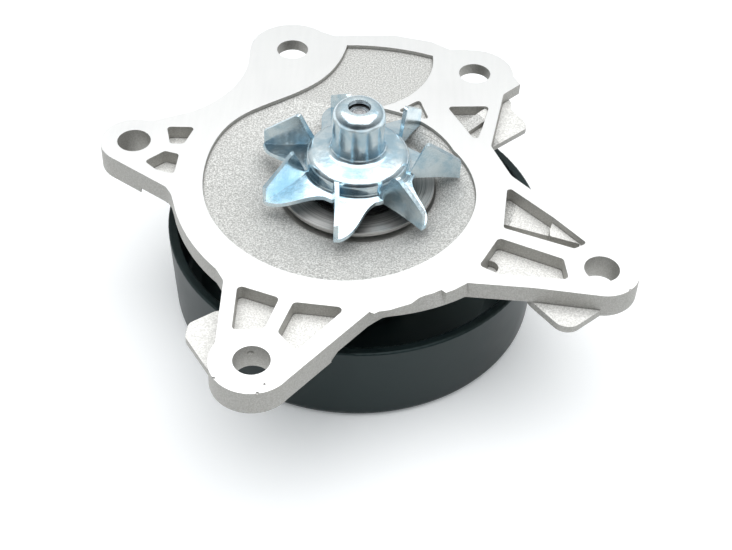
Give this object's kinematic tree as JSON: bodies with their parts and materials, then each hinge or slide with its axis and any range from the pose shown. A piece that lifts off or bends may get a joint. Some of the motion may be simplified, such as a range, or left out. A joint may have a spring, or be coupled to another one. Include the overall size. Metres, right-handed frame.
{
  "type": "automotive water pump",
  "caption": "Engine coolant pump: cast flange with volute recess and bolt ears, stamped star impeller, sealed shaft bearing and a smooth belt pulley.",
  "frame": {"origin": "on the shaft axis, in the plane of the machined mounting face", "axes": "+Z along the shaft towards the impeller; the bolt ear nearest the viewer points to -Y and the volute outlet to +Y"},
  "size_m": [0.142, 0.1439, 0.0638],
  "materials": {
    "cast_aluminium": "as cast and shot blasted, with a machined mounting face",
    "bearing_steel": "ground",
    "black_rubber": "matt",
    "stainless": "bright",
    "carbon": "lapped carbon",
    "ceramic": "lapped silicon carbide",
    "zinc_plate": "bright bluish zinc plating",
    "black_coat": "satin black coating",
    "cage_nylon": "moulded nylon"
  },
  "bodies": {
    "housing": {"pump_body": "cast_aluminium", "bearing_outer_ring": "bearing_steel", "upper_bearing_seal": "black_rubber", "lower_bearing_seal": "black_rubber", "seal_cup": "stainless", "seal_bellows": "black_rubber", "seal_retainer": "stainless", "seal_spring": "stainless", "carbon_ring": "carbon"},
    "rotor": {"shaft": "bearing_steel", "impeller": "zinc_plate", "ceramic_seat": "ceramic", "seat_boot": "black_rubber", "slinger": "black_rubber", "pulley_hub": "bearing_steel", "pulley": "black_coat"},
    "upper_ball_row": {"upper_balls": "bearing_steel", "upper_cage": "cage_nylon"},
    "lower_ball_row": {"lower_balls": "bearing_steel", "lower_cage": "cage_nylon"}
  },
  "joints": [
    {"name": "rotor_spin", "type": "hinge", "parent": "housing", "child": "rotor", "pos_m": [0, 0, 0], "axis": [0, 0, 1], "continuous": true},
    {"name": "upper_row_spin", "type": "hinge", "parent": "housing", "child": "upper_ball_row", "pos_m": [0, 0, -0.0202], "axis": [0, 0, 1], "continuous": true},
    {"name": "lower_row_spin", "type": "hinge", "parent": "housing", "child": "lower_ball_row", "pos_m": [0, 0, -0.0288], "axis": [0, 0, 1], "continuous": true}
  ],
  "couplings": [
    {"joint": "upper_row_spin", "follows": "rotor_spin", "ratio": 0.3756},
    {"joint": "lower_row_spin", "follows": "rotor_spin", "ratio": 0.3756}
  ]
}
